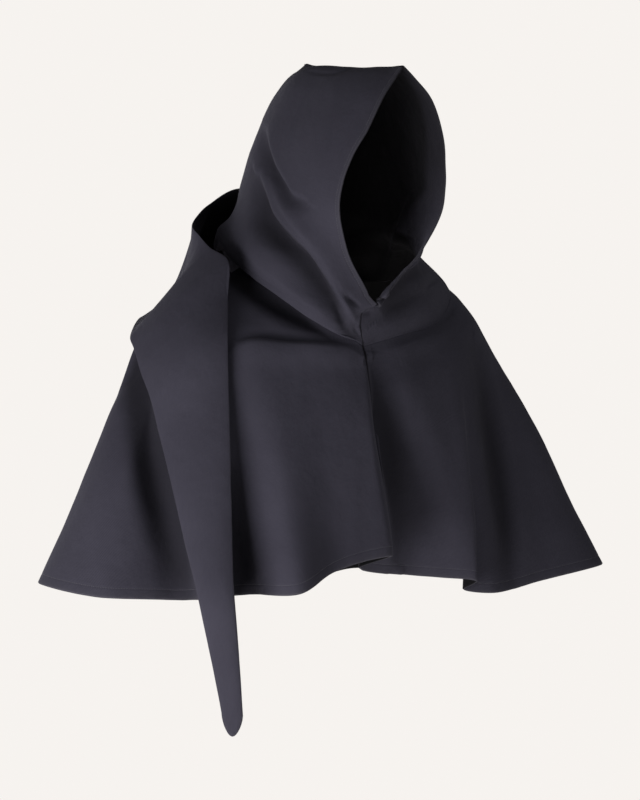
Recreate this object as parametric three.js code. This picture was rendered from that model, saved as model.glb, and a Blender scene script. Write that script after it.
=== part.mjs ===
// Medieval hood with a shoulder cape and a long liripipe, in the form it has when it is worn.
// Millimetres, +Z up. The wearer faces -Y and the wearer's right is -X.
// The origin is the top of the head, where the crown of the hood bears.

import * as THREE from "three";

// Driving dimensions
const CLOTH = 1.8; // one layer of heavy twill
const HEM_CLOTH = 3; // twill turned under and topstitched
const CAPE_HEM = 13;
const HEM_STEP = 2; // length over which a hem thins to one layer
const SEAM_GAP = 0.3; // between two pieces along a seam
const NECK_GAP = 0.8; // between the hood and the cape along the neck seam

// The cape's knee is where the cloth leaves the shoulders. Its hem is given as it would hang without folds.
const KNEE = { right: 235, left: 246, front: 165, back: 135, middleY: 20, frontShift: -5 };
const KNEE_Z = { right: -335, left: -325 };
const KNEE_DROP = { front: 115, back: 50 };
const HEM = { middleX: 13, halfWidth: 385, front: 215, back: 250, middleY: 20, z: -690 };
const SHOULDER_RISE = { right: 0, left: 6 };
const FLARE_AT_MIDDLE = { ends: 0.5, right: 0.47, left: 0.56 }; // share of the flare reached half way down
const FOLD_AT_MIDDLE = 0.42; // share of each hem fold that is left half way up the flare
const FLARE_LENGTH = 155; // cloth from the middle of the flare to the hem
const CAPE_STEPS = 3; // columns from one hem station to the next
const CAPE_KNOTS = { neck: 0, yoke: 1, knee: 2, middle: 3, hem: 4 }; // points of a column of the cape

// The liripipe is a flat tube of two layers, open and fuller where it leaves the hood.
const TAIL_FULLNESS = { root: 14, flat: 4.6 };
const TAIL_HOLLOW_ROWS = 9; // rows of its surface that are an open tube
const TAIL_SQUARENESS = 3; // 2 would make its section an ellipse

const CHEEK_ROUNDNESS = 1.6; // how soon a section turns from the face edge to the side
const FOLD_ENDS = 0.1; // a fold is shallow at both ends and deepest between them
const NEAR_SEAM = 4; // rows and columns beside a seam that are held on their own side of it

// The centre-front seam below the throat, where a tuck pulls it to the wearer's right
const FRONT_SEAM = { startZ: -306, topX: -20, topZ: -324, footX: -12, footZ: -376 };

const TWILL = 0x3a3941;
const TWILL_SHADED = 0x2f2e34;

// Stations of a hood section, from the face edge or front seam round one side to the back seam
const STATIONS = ["face", "cheek", "jaw", "side", "ear", "nape", "back"];

// Upper hood sections, the same on both sides. The other stations follow from these three.
const HOOD_UPPER = [
  { face: [0, -209, -20], side: [0, -80, -8], back: [0, 46, 14] },
  { face: [16, -215, -38], side: [36, -40, -3], back: [0, 62, -6] },
  { face: [36.5, -220, -63], side: [60, -25, -26], back: [0, 82, -38] },
  { face: [57, -215, -106], side: [78, -14, -72], back: [0, 103, -78] },
  { face: [70, -202, -140], side: [90, -8, -115], back: [0, 120, -115] },
  { face: [77.5, -191, -172], side: [101, -5, -155], back: [0, 132, -150] },
];

// Number of the section at the bottom of the face opening, where the centre-front seam starts
const THROAT_SECTION = 9;

// Where the two sides start to differ: the right slouches lower
const HOOD_TURN = {
  right: { face: [77, -181, -205], side: [113, -3, -200], back: [0, 137, -195] },
  left: { face: [77, -181, -205], side: [108, -3, -180], back: [0, 137, -195] },
};

// Lower right sections: this side ends in a roll that hangs over the cape, with the neck seam under it
const HOOD_RIGHT_LOWER = [
  {
    face: [-56, -167, -258], cheek: [-88, -140, -256], jaw: [-115, -85, -250], side: [-126, 0, -236],
    ear: [-110, 78, -214], nape: [-62, 130, -238], back: [0, 142, -255],
  },
  {
    face: [-22, -156, -308], cheek: [-62, -148, -318], jaw: [-108, -95, -290], side: [-130, 5, -250],
    ear: [-115, 75, -226], nape: [-64, 128, -258], back: [0, 146, -300],
  },
  {
    face: [-20, -152, -324], cheek: [-61, -144, -340], jaw: [-106, -97, -307], side: [-130, 8, -256],
    ear: [-115, 74, -230], nape: [-63, 127, -270], back: [0, 149, -320],
  },
  {
    face: [-12.5, -134, -371], cheek: [-58, -136, -359], jaw: [-100, -95, -322], side: [-128, 10, -262],
    ear: [-114, 72, -234], nape: [-62, 125, -282], back: [0, 150, -340],
  },
  {
    face: [-12, -133, -376], cheek: [-47, -122, -350], jaw: [-76, -78, -306], side: [-90, -5, -262],
    ear: [-82, 55, -262], nape: [-50, 95, -290], back: [0, 112, -318],
  },
];

// Lower left sections: a shallow groove at the neck. Row 2 is the bottom of the face opening.
const HOOD_LEFT_LOWER = [
  {
    face: [50, -165, -263], cheek: [71, -146, -252], jaw: [98, -90, -228], side: [110, -6, -208],
    ear: [100, 72, -207], nape: [58, 125, -235], back: [0, 142, -255],
  },
  {
    face: [-2, -157, -320], cheek: [44, -150, -292], jaw: [90, -108, -262], side: [114, -8, -222],
    ear: [103, 68, -218], nape: [59, 125, -250], back: [0, 146, -300],
  },
  {
    face: [-20, -152, -324], cheek: [42, -146, -320], jaw: [101, -110, -290], side: [146, -14, -246],
    ear: [112, 66, -240], nape: [59, 124, -268], back: [0, 149, -320],
  },
  {
    face: [-12.5, -134, -371], cheek: [46, -131, -349], jaw: [118, -98, -316], side: [184, -10, -274],
    ear: [136, 64, -262], nape: [58, 120, -284], back: [0, 150, -340],
  },
  {
    face: [-12, -133, -376], cheek: [50, -122, -361], jaw: [134, -84, -341], side: [198, -8, -287],
    ear: [148, 66, -275], nape: [56, 102, -292], back: [0, 112, -318],
  },
];

// Hem stations with their turn from the centre front. A crest stands forward, a valley falls back.
const HEM_RIGHT = [
  { turn: 0, x: 0, y: -183, z: -645 },
  { turn: 8, x: -48, y: -184, z: -651 },
  { turn: 16, x: -85, y: -182, z: -662 },
  { turn: 32, x: -145, y: -202, z: -685 },
  { turn: 46, x: -185, y: -132, z: -689 },
  { turn: 60, x: -242, y: -158, z: -690 },
  { turn: 72, x: -262, y: -90, z: -695 },
  { turn: 88, x: -352, y: -52, z: -691 },
  { turn: 105, x: -373, y: 88, z: -682 },
  { turn: 118, x: -318, y: 128, z: -688 },
  { turn: 130, x: -300, y: 195, z: -692 },
  { turn: 143, x: -215, y: 205, z: -698 },
  { turn: 155, x: -160, y: 282, z: -696 },
  { turn: 167, x: -85, y: 240, z: -700 },
  { turn: 180, x: 0, y: 285, z: -696 },
];
const HEM_LEFT = [
  { turn: 3, x: -12, y: -125, z: -664 },
  { turn: 14, x: 72, y: -108, z: -677 },
  { turn: 24, x: 110, y: -127, z: -680 },
  { turn: 34, x: 152, y: -152, z: -685 },
  { turn: 38, x: 152, y: -124, z: -698 },
  { turn: 48, x: 200, y: -127, z: -704 },
  { turn: 66, x: 280, y: -117, z: -692 },
  { turn: 80, x: 399, y: -99, z: -675 },
  { turn: 92, x: 428, y: 0, z: -682 },
  { turn: 104, x: 372, y: 70, z: -690 },
  { turn: 116, x: 370, y: 165, z: -692 },
  { turn: 130, x: 275, y: 180, z: -698 },
  { turn: 143, x: 215, y: 262, z: -696 },
  { turn: 156, x: 130, y: 232, z: -700 },
  { turn: 168, x: 75, y: 280, z: -697 },
];

// Soft folds of the hood's right side, seen from the side: path, half width and depth
const HOOD_FOLDS = [
  { path: [[-11, -100], [-45, -143], [-88, -185]], width: 14, depth: 10 },
  { path: [[-32, -169], [-100, -238], [-142, -278], [-145, -317]], width: 20, depth: 13 },
];

// Creases that run from the neck seam across the yoke, seen from the front
const YOKE_CREASES = [
  { path: [[-12, -376], [50, -358], [105, -346], [165, -327]], width: 12, depth: 6 },
  { path: [[-12, -376], [-95, -368], [-140, -360], [-160, -362]], width: 12, depth: 7 },
];

// The liripipe from its root at the back of the hood, over the right shoulder, to its tip:
// its upper and lower edge, and how far it arches out between them
const TAIL = [
  { upper: [-3, 139, -153], lower: [-3, 157, -336], arch: 0 },
  { upper: [-60, 129, -153], lower: [-70, 171, -342], arch: 5 },
  { upper: [-110, 113, -178], lower: [-138, 156, -340], arch: 8 },
  { upper: [-147, 84, -202], lower: [-196, 118, -334], arch: -18 },
  { upper: [-164, 56, -215], lower: [-230, 80, -336], arch: -26 },
  { upper: [-169, 28, -227], lower: [-256, 47, -351], arch: -18 },
  { upper: [-167, 0, -245], lower: [-270, 26, -366], arch: 2 },
  { upper: [-159, -38, -265], lower: [-274, 6, -380], arch: 12 },
  { upper: [-173, -63, -317], lower: [-277, -20, -410], arch: 17 },
  { upper: [-190, -95, -369], lower: [-273, -40, -443], arch: 15 },
  { upper: [-195, -107, -433], lower: [-269, -55, -484], arch: 9 },
  { upper: [-202, -124, -508], lower: [-265, -78, -540], arch: 8 },
  { upper: [-211, -146, -595], lower: [-262, -106, -604], arch: 7 },
  { upper: [-223, -175, -692], lower: [-258, -145, -691], arch: 4 },
  { upper: [-218, -178, -766], lower: [-246, -153, -757], arch: 2 },
  { upper: [-213, -179, -835], lower: [-234, -161, -831], arch: 1 },
];
const TAIL_TIP = [-223, -169, -861];
const TAIL_STEPS = 2; // rows from one station to the next
const TAIL_SHARES = [0.03, 0.22, 0.5, 0.78, 0.97]; // across the width, from the upper edge to the lower

// Columns and rows of the hood's surface, counted in stations and sections
const FACE_HEM_KNOT = 0.3; // the thicker face edge reaches this column
const HOOD_COLUMNS = [
  0, FACE_HEM_KNOT, 0.34, 0.62, 0.9, 1.2, 1.5, 1.8, 2.1, 2.4, 2.7, 3, 3.4, 3.8, 4.2, 4.6, 5, 5.5, 6,
];
const HOOD_ROWS = [
  0, 0.5, 1, 1.5, 2, 2.5, 3, 3.33, 3.67, 4, 4.33, 4.67, 5, 5.33, 5.67, 6, 6.33, 6.67, 7, 7.5, 8, 9, 9.5, 10,
  10.5, 11,
];

// A smooth curve through points, read at knots where 0 is the first point and 1 the second
function through(points, knots) {
  const curve = new THREE.CatmullRomCurve3(points, false, "centripetal");
  return knots.map((knot) => curve.getPoint(knot / (points.length - 1)));
}

// A grid of points: every section is read at the column knots, every column at the row knots
function clothGrid(sections, columnKnots, rowKnots) {
  const drawn = sections.map((section) => through(section, columnKnots));
  const columns = columnKnots.map((_, c) => through(drawn.map((row) => row[c]), rowKnots));
  return rowKnots.map((_, r) => columns.map((column) => column[r]));
}

// Unit normals of a grid. side is 1 where columns run clockwise seen from above, -1 otherwise.
function gridNormals(grid, side, ring = false) {
  const rows = grid.length;
  const columns = grid[0].length;
  const at = (r, c) => grid[Math.max(0, Math.min(rows - 1, r))][ring ? (c + columns) % columns : c];
  return grid.map((row, r) =>
    row.map((_, c) => {
      const before = ring ? c - 1 : Math.max(0, c - 1);
      const after = ring ? c + 1 : Math.min(columns - 1, c + 1);
      const along = at(r, after).clone().sub(at(r, before));
      const down = at(r + 1, c).clone().sub(at(r - 1, c));
      return along.cross(down).multiplyScalar(side).normalize();
    }),
  );
}

// Distance from a point of a plane to a path of straight stretches, and how far along the path it lies
function distanceToPath(u, v, path) {
  let nearest = { distance: Infinity, share: 0 };
  for (let i = 0; i + 1 < path.length; i++) {
    const [u0, v0] = path[i];
    const [u1, v1] = path[i + 1];
    const lengthSquared = (u1 - u0) ** 2 + (v1 - v0) ** 2;
    const t = THREE.MathUtils.clamp(((u - u0) * (u1 - u0) + (v - v0) * (v1 - v0)) / lengthSquared, 0, 1);
    const distance = Math.hypot(u - u0 - t * (u1 - u0), v - v0 - t * (v1 - v0));
    if (distance < nearest.distance) nearest = { distance, share: (i + t) / (path.length - 1) };
  }
  return nearest;
}

// Presses soft folds into a grid along its normals. plane turns a point into the folds' two coordinates.
function pressFolds(grid, normals, folds, plane) {
  grid.forEach((row, r) =>
    row.forEach((point, c) => {
      const [u, v] = plane(point);
      const normal = normals[r][c];
      for (const fold of folds) {
        const { distance, share } = distanceToPath(u, v, fold.path);
        const taper = Math.sin(Math.PI * THREE.MathUtils.lerp(FOLD_ENDS, 1 - FOLD_ENDS, share));
        const depth = fold.depth * taper * Math.exp(-((distance / fold.width) ** 2));
        point.addScaledVector(normal, -depth);
      }
    }),
  );
}

// A closed wall between an outer grid and the grid one thickness inside it
function wallGeometry(outer, inner, side) {
  const rows = outer.length;
  const columns = outer[0].length;
  const vertices = [...outer.flat(), ...inner.flat()];
  const skin = (r, c) => r * columns + c;
  const lining = (r, c) => rows * columns + skin(r, c);
  const faces = [];
  const quad = (a, b, c, d) => faces.push(...(side > 0 ? [a, b, c, a, c, d] : [a, c, b, a, d, c]));
  for (let r = 0; r + 1 < rows; r++) {
    for (let c = 0; c + 1 < columns; c++) {
      quad(skin(r, c), skin(r, c + 1), skin(r + 1, c + 1), skin(r + 1, c));
      quad(lining(r, c), lining(r + 1, c), lining(r + 1, c + 1), lining(r, c + 1));
    }
    quad(skin(r, 0), skin(r + 1, 0), lining(r + 1, 0), lining(r, 0));
    quad(skin(r + 1, columns - 1), skin(r, columns - 1), lining(r, columns - 1), lining(r + 1, columns - 1));
  }
  for (let c = 0; c + 1 < columns; c++) {
    quad(skin(0, c + 1), skin(0, c), lining(0, c), lining(0, c + 1));
    quad(skin(rows - 1, c), skin(rows - 1, c + 1), lining(rows - 1, c + 1), lining(rows - 1, c));
  }
  return closedGeometry(vertices, faces);
}

function closedGeometry(vertices, faces) {
  const geometry = new THREE.BufferGeometry().setFromPoints(vertices);
  geometry.setIndex(faces);
  geometry.computeVertexNormals();
  return geometry;
}

// The seven stations of an upper section. sign is -1 on the wearer's right and 1 on the left.
function upperSection({ face, side, back }, sign) {
  const mix = (a, b, t) => a + (b - a) * t;
  const front = [0, 1 / 3, 2 / 3].map((t) => {
    const x = mix(face[0], side[0], 1 - (1 - t) ** CHEEK_ROUNDNESS);
    return new THREE.Vector3(sign * x, mix(face[1], side[1], t), mix(face[2], side[2], t));
  });
  const rear = [0, 1 / 3, 2 / 3, 1].map((t) => {
    const angle = (t * Math.PI) / 2;
    const x = mix(back[0], side[0], Math.cos(angle));
    const share = Math.sin(angle);
    return new THREE.Vector3(sign * x, mix(side[1], back[1], share), mix(side[2], back[2], share));
  });
  return [...front, ...rear];
}

function hoodSections(turn, lower, sign) {
  const upper = [...HOOD_UPPER, turn].map((row) => upperSection(row, sign));
  const below = lower.map((row) => STATIONS.map((station) => new THREE.Vector3(...row[station])));
  return [...upper, ...below];
}

// X of the seam plane beside a point
function seamX(point) {
  const { startZ, topX, topZ, footX, footZ } = FRONT_SEAM;
  const front = point.y < 0 && point.z < startZ;
  return front ? THREE.MathUtils.mapLinear(point.z, topZ, footZ, topX, footX) : 0;
}

// Keeps one half of the hood on its own side of the crown, back and front seam
function holdAtSeams(skin, sign, seamRow) {
  const lastColumn = HOOD_COLUMNS.length - 1;
  const lastRow = HOOD_ROWS.length - 1;
  skin.forEach((row, r) =>
    row.forEach((point, c) => {
      const beside = r < NEAR_SEAM || c > lastColumn - NEAR_SEAM || r >= seamRow;
      const clear = seamX(point) + (sign * SEAM_GAP) / 2;
      if (r === 0 || c === lastColumn) point.x = 0;
      if (c === 0 && r >= seamRow) point.x += (sign * SEAM_GAP) / 2;
      else if (sign * (point.x - clear) < 0 && ((beside && c > 0) || r === 0)) point.x = clear;
      if (r === lastRow) point.z += NECK_GAP / 2;
    }),
  );
}

// One half of the hood, open at the face and the neck
function hoodHalf(turn, lower, sign, folds) {
  const side = -sign;
  const sections = hoodSections(turn, lower, sign);
  const grid = clothGrid(sections, HOOD_COLUMNS, HOOD_ROWS);
  pressFolds(grid, gridNormals(grid, side), folds, (point) => [point.y, point.z]);
  const normals = gridNormals(grid, side);
  const lastColumn = HOOD_COLUMNS.length - 1;
  const seamRow = HOOD_ROWS.indexOf(THROAT_SECTION);
  const seam = sections.slice(THROAT_SECTION).map((section) => section[0]);
  const seamKnots = HOOD_ROWS.slice(seamRow).map((knot) => knot - THROAT_SECTION);
  through(seam, seamKnots).forEach((point, i) => grid[seamRow + i][0].copy(point));
  const inner = grid.map((row, r) =>
    row.map((point, c) => {
      const onSeam = r === 0 || c === lastColumn || (c === 0 && r >= seamRow);
      const normal = normals[r][c];
      if (onSeam) normal.setX(0).normalize();
      if (c === 0 && r >= seamRow) normal.set(0, -1, 0);
      const thickness = HOOD_COLUMNS[c] <= FACE_HEM_KNOT && r < seamRow ? HEM_CLOTH : CLOTH;
      return point.clone().addScaledVector(normal, -thickness);
    }),
  );
  for (const skin of [grid, inner]) holdAtSeams(skin, sign, seamRow);
  return wallGeometry(grid, inner, side);
}

// The five points of one column of the cape, from the neck to a hem station. sign is -1 on the right.
function capeColumn(row, sign) {
  const hand = sign < 0 ? "right" : "left";
  const turn = THREE.MathUtils.degToRad(row.turn);
  const sine = Math.sin(turn);
  const cosine = Math.cos(turn);
  const depth = cosine > 0 ? "front" : "back";
  const neckSection = (sign < 0 ? HOOD_RIGHT_LOWER : HOOD_LEFT_LOWER).at(-1);
  const neckPoints = STATIONS.map((station) => new THREE.Vector3(...neckSection[station]));
  const neck = through(neckPoints, [(row.turn / 180) * (STATIONS.length - 1)])[0];
  const knee = new THREE.Vector3(
    sign * KNEE[hand] * sine + KNEE.frontShift * Math.max(cosine, 0),
    KNEE.middleY - KNEE[depth] * cosine,
    THREE.MathUtils.lerp(KNEE_Z.left, KNEE_Z[hand], sine ** 2) - KNEE_DROP[depth] * cosine ** 2,
  );
  const yoke = neck.clone().lerp(knee, 0.5);
  yoke.z += SHOULDER_RISE[hand] * sine ** 2;
  const plain = new THREE.Vector3(
    HEM.middleX + sign * HEM.halfWidth * sine,
    HEM.middleY - HEM[depth] * cosine,
    HEM.z,
  );
  const hem = new THREE.Vector3(row.x, row.y, row.z);
  const flare = THREE.MathUtils.lerp(FLARE_AT_MIDDLE.ends, FLARE_AT_MIDDLE[hand], sine ** 2);
  const middle = knee.clone().lerp(plain, flare);
  middle.z = (knee.z + plain.z) / 2;
  middle.addScaledVector(hem.clone().sub(plain), FOLD_AT_MIDDLE);
  return [neck, yoke, knee, middle, hem];
}

// The whole cape as closed rings, from the centre back round the right side, the front and the left side
function capeGrid(rowKnots) {
  const right = [...HEM_RIGHT].reverse().map((row) => capeColumn(row, -1));
  const left = HEM_LEFT.map((row) => capeColumn(row, 1));
  const columns = [...right, ...left];
  const grid = rowKnots.map((knot) => {
    const stations = columns.map((column) => through(column, [knot])[0]);
    const ring = new THREE.CatmullRomCurve3(stations, true, "centripetal");
    const count = stations.length * CAPE_STEPS;
    return Array.from({ length: count }, (_, i) => ring.getPoint(i / count));
  });
  pressFolds(grid, gridNormals(grid, -1, true), YOKE_CREASES, (point) =>
    point.y < 0 ? [point.x, point.z] : [Infinity, Infinity],
  );
  return grid;
}

// One half of the cape: the columns from one seam to the other, held clear of both
function capeHalf(grid, rowKnots, hemKnot, from, to) {
  const normals = gridNormals(grid, -1, true);
  const total = grid[0].length;
  const indices = Array.from({ length: to - from + 1 }, (_, i) => (from + i) % total);
  const atSeam = (row, r, index, direction) => {
    const normal = normals[r][index];
    const across = row[(index + 1) % total].clone().sub(row[(index + total - 1) % total]);
    across.addScaledVector(normal, -across.dot(normal)).normalize();
    return row[index].clone().addScaledVector(across, direction * SEAM_GAP);
  };
  const outer = grid.map((row, r) =>
    indices.map((index, i) => {
      if (i === 0) return atSeam(row, r, index, 1);
      if (i === indices.length - 1) return atSeam(row, r, index, -1);
      return row[index].clone();
    }),
  );
  const inner = outer.map((row, r) =>
    row.map((point, i) => {
      const thickness = rowKnots[r] >= hemKnot ? HEM_CLOTH : CLOTH;
      return point.clone().addScaledVector(normals[r][indices[i]], -thickness);
    }),
  );
  for (const skin of [outer, inner]) skin[0].forEach((point) => (point.z -= NECK_GAP / 2));
  return wallGeometry(outer, inner, -1);
}

// Geometry of both halves of the cape
function capeHalves() {
  const { neck, yoke, knee, hem } = CAPE_KNOTS;
  const hemKnot = hem - CAPE_HEM / FLARE_LENGTH;
  const stepKnot = hemKnot - HEM_STEP / FLARE_LENGTH;
  const rowKnots = [neck, 0.45, yoke, 1.5, knee, 2.4, 2.8, 3.2, 3.6, stepKnot, hemKnot, hem];
  const grid = capeGrid(rowKnots);
  const front = (HEM_RIGHT.length - 1) * CAPE_STEPS;
  return {
    right: capeHalf(grid, rowKnots, hemKnot, 0, front),
    left: capeHalf(grid, rowKnots, hemKnot, front, grid[0].length),
  };
}

// Points round the liripipe at one row, with its wall set in by inset: over the outer face, back under it
function tailSection(upper, lower, heading, arch, fullness, inset) {
  const width = lower.clone().sub(upper);
  const outward = width.clone().cross(heading).normalize();
  const margin = inset / width.length();
  const at = (share, offset) => {
    const across = THREE.MathUtils.lerp(margin, 1 - margin, share);
    const rise = arch * 4 * across * (1 - across);
    return upper.clone().addScaledVector(width, across).addScaledVector(outward, rise + offset);
  };
  const half = (share) => (fullness / 2 - inset) * Math.sqrt(1 - Math.abs(2 * share - 1) ** TAIL_SQUARENESS);
  const over = TAIL_SHARES.map((share) => at(share, half(share)));
  const under = TAIL_SHARES.map((share) => at(share, -half(share))).reverse();
  return [at(0, 0), ...over, at(1, 0), ...under];
}

// The liripipe: a flat tapering tube, open at its root, pressed flat further on and closed at its tip
function tailGeometry() {
  const last = TAIL.length - 1;
  const knots = Array.from({ length: last * TAIL_STEPS + 1 }, (_, i) => i / TAIL_STEPS);
  const uppers = through(TAIL.map((row) => new THREE.Vector3(...row.upper)), knots);
  const lowers = through(TAIL.map((row) => new THREE.Vector3(...row.lower)), knots);
  const centres = uppers.map((upper, i) => upper.clone().lerp(lowers[i], 0.5));
  const row = (i, inset) => {
    const heading = centres[Math.min(i + 1, knots.length - 1)].clone().sub(centres[Math.max(i - 1, 0)]);
    const before = TAIL[Math.floor(knots[i])];
    const after = TAIL[Math.ceil(knots[i])];
    const arch = THREE.MathUtils.lerp(before.arch, after.arch, knots[i] % 1);
    const flatness = Math.min(1, i / (TAIL_HOLLOW_ROWS + 1));
    const fullness = THREE.MathUtils.lerp(TAIL_FULLNESS.root, TAIL_FULLNESS.flat, flatness);
    return tailSection(uppers[i], lowers[i], heading, arch, fullness, inset);
  };
  const outer = knots.map((_, i) => row(i, 0));
  const hollow = knots.slice(0, TAIL_HOLLOW_ROWS).map((_, i) => row(i, CLOTH));
  const count = outer[0].length;
  const vertices = [...outer.flat(), ...hollow.flat(), new THREE.Vector3(...TAIL_TIP)];
  const skin = (r, c) => r * count + (c % count);
  const lining = (r, c) => outer.length * count + skin(r, c);
  const tip = vertices.length - 1;
  const faces = [];
  const quad = (a, b, c, d) => faces.push(a, b, c, a, c, d);
  for (let c = 0; c < count; c++) {
    for (let r = 0; r + 1 < outer.length; r++) {
      quad(skin(r, c), skin(r, c + 1), skin(r + 1, c + 1), skin(r + 1, c));
    }
    for (let r = 0; r + 1 < hollow.length; r++) {
      quad(lining(r, c), lining(r + 1, c), lining(r + 1, c + 1), lining(r, c + 1));
    }
    quad(skin(0, c), lining(0, c), lining(0, c + 1), skin(0, c + 1));
    faces.push(skin(outer.length - 1, c), skin(outer.length - 1, c + 1), tip);
  }
  // The hollow ends where the layers meet: a strip between its outer and inner side
  const end = (c) => lining(hollow.length - 1, c);
  faces.push(end(0), end(count - 1), end(1));
  for (let c = 1; c + 1 < count / 2; c++) quad(end(c), end(count - c), end(count - c - 1), end(c + 1));
  faces.push(end(count / 2), end(count / 2 - 1), end(count / 2 + 1));
  return closedGeometry(vertices, faces);
}

function piece(name, geometry, color) {
  const material = new THREE.MeshStandardMaterial({ color, roughness: 0.9, metalness: 0 });
  material.side = THREE.DoubleSide;
  const mesh = new THREE.Mesh(geometry, material);
  mesh.name = name;
  return mesh;
}

const cape = capeHalves();
const hood = new THREE.Group();
hood.add(piece("hood_right", hoodHalf(HOOD_TURN.right, HOOD_RIGHT_LOWER, -1, HOOD_FOLDS), TWILL));
hood.add(piece("hood_left", hoodHalf(HOOD_TURN.left, HOOD_LEFT_LOWER, 1, []), TWILL_SHADED));
hood.add(piece("cape_right", cape.right, TWILL));
hood.add(piece("cape_left", cape.left, TWILL_SHADED));
hood.add(piece("liripipe", tailGeometry(), TWILL));

export default hood;
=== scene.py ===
import math

import bpy
import numpy as np
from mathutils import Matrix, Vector, noise


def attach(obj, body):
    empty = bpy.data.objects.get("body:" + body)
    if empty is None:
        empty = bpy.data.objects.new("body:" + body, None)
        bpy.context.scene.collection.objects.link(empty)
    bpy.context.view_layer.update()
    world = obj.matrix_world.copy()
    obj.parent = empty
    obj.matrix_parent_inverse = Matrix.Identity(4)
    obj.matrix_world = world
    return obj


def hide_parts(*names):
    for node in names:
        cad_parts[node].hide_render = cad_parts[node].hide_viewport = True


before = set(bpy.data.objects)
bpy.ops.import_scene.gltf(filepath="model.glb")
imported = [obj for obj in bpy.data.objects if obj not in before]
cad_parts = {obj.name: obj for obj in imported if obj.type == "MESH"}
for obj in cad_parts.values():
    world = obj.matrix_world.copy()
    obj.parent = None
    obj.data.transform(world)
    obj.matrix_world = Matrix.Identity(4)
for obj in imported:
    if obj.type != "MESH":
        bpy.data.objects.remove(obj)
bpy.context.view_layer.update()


# Camera
# The camera stands in front of the wearer's right shoulder, level with the middle of the hood,
# 3 m from the axis of the head, with a long lens that keeps the perspective slight.
VIEW_TURN = math.radians(-30)
CAMERA_DISTANCE = 3.0
CAMERA_HEIGHT = -0.4455


def add_object(name, data):
    """A new object in the scene with this camera, mesh, curve or light."""
    thing = bpy.data.objects.new(name, data)
    bpy.context.scene.collection.objects.link(thing)
    return thing


camera = add_object("camera", bpy.data.cameras.new("camera"))
camera.data.lens = 100
camera.data.sensor_width = 36
camera.data.clip_end = 30
camera.location = (
    math.sin(VIEW_TURN) * CAMERA_DISTANCE,
    -math.cos(VIEW_TURN) * CAMERA_DISTANCE,
    CAMERA_HEIGHT,
)
camera.rotation_euler = (math.pi / 2, 0, VIEW_TURN)
bpy.context.scene.camera = camera


# Hood
# Two mirrored pieces of heavy cotton twill, sewn together along the crown, the back and the throat.
# Each is a curved sheet through sections from the crown down to the neck seam. The right half
# slouches into a roll that hangs over the cape; the face edge is turned in and topstitched.
MM = 0.001
# Thickness of the cloth, and of the turned edge at the face. All sizes are in millimetres.
CLOTH = 1.8
FACE_HEM_CLOTH = 2.6
# Distance from the face edge to its row of stitches, and how far past them the turned edge thins out
FACE_HEM = 5.5
FACE_HEM_FADE = 3
SEAM_GROOVE = {"depth": 1.4, "width": 1.5}
STITCH_GROOVE = {"depth": 0.3, "width": 1.2}
# How far the rounded edge of the cloth stands out, as a share of its thickness, and how much painted shade
# it gets
RIM_ROUND = 0.35
RIM_SHADE = 0.5
# How far wear reaches in from an edge, and the width of the painted shade along the groove of a seam
WEAR_REACH = 2.5
SEAM_SHADE_WIDTH = 1.6
CHEEK_ROUNDNESS = 1.6
# The section at which the face edge has ended and the throat seam starts
THROAT_SECTION = 9
# The crown's back corner is rounded off
CROWN_PULLS = [
    {"at": (0, 40, 12), "move": (0, 0, 2.5), "reach": 16},
    {"at": (0, 47, 14), "move": (0, -3, -4.5), "reach": 6},
]
# The back corner of the roll is drawn out to a point
CORNER_PULLS = [
    {"at": (-106, 68, -208), "move": (-5, 2, 0), "reach": 26},
    {"at": (-114, 74, -233), "move": (-5, 3, -8), "reach": 10},
]
# The quarter of the cloth nearest a seam is kept on its own half's side. The halves cross by a little
# in the groove of the seam, so that nothing shows through.
NEAR_SEAM = 4
HALF_GAP = -0.4
# Folds and unevenness grow to their full size within this length of cloth from the neck seam
NECK_HOLD = {"hood": 9, "cape": 16}
# Folds end where the cloth turns away from the camera's side, and are shallower towards their ends
FOLD_FACING = {"start": -0.05, "range": 0.3}
FOLD_TAPER = {"start": 0.1, "range": 0.8}
FOLD_STEPS = 40
# The unevenness of worn cloth: how wide and tall its waves are, and how far they rise
RIPPLES = [{"wide": 62, "tall": 110, "rise": 1.3}, {"wide": 19, "tall": 34, "rise": 0.35}]
RIPPLE_SEED = {"hood_right": 5, "hood_left": 11, "cape": 17, "liripipe": 23}

# Where each half's face edge ends at the throat, and the seam below it, which a small tuck pulls
# to the wearer's right: section number and place. The pull starts at an earlier section and fades out
# within a reach from the seam.
THROAT_EDGE = {
    "right": [(8, -18, -156, -311), (8.5, -11, -156, -318)],
    "left": [(8, -2, -155, -319), (8.5, -3, -156, -322)],
}
FRONT_SEAM = [
    (9, -5, -156, -323), (9.12, -15, -153, -327), (9.3, -23, -148, -334), (9.6, -22, -143, -350),
    (10, -12.5, -134, -371), (11, -12, -133, -376),
]
TUCK_START = 7.4
TUCK_REACH = 16

# Upper sections: their points on the face edge, at the widest of the side and on the back seam
HOOD_UPPER = [
    {"face": (0, -209, -20), "side": (0, -80, -8), "back": (0, 46, 14)},
    {"face": (16, -215, -38), "side": (36, -40, -3), "back": (0, 62, -6)},
    {"face": (36.5, -220, -63), "side": (60, -25, -26), "back": (0, 82, -38)},
    {"face": (57, -215, -106), "side": (78, -14, -72), "back": (0, 103, -78)},
    {"face": (70, -202, -140), "side": (90, -8, -115), "back": (0, 120, -115)},
    {"face": (77.5, -191, -172), "side": (101, -5, -155), "back": (0, 132, -150)},
]
HOOD_TURN = {
    "right": {"face": (77, -181, -205), "side": (113, -3, -200), "back": (0, 137, -195)},
    "left": {"face": (77, -181, -205), "side": (108, -3, -180), "back": (0, 137, -195)},
}
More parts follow.
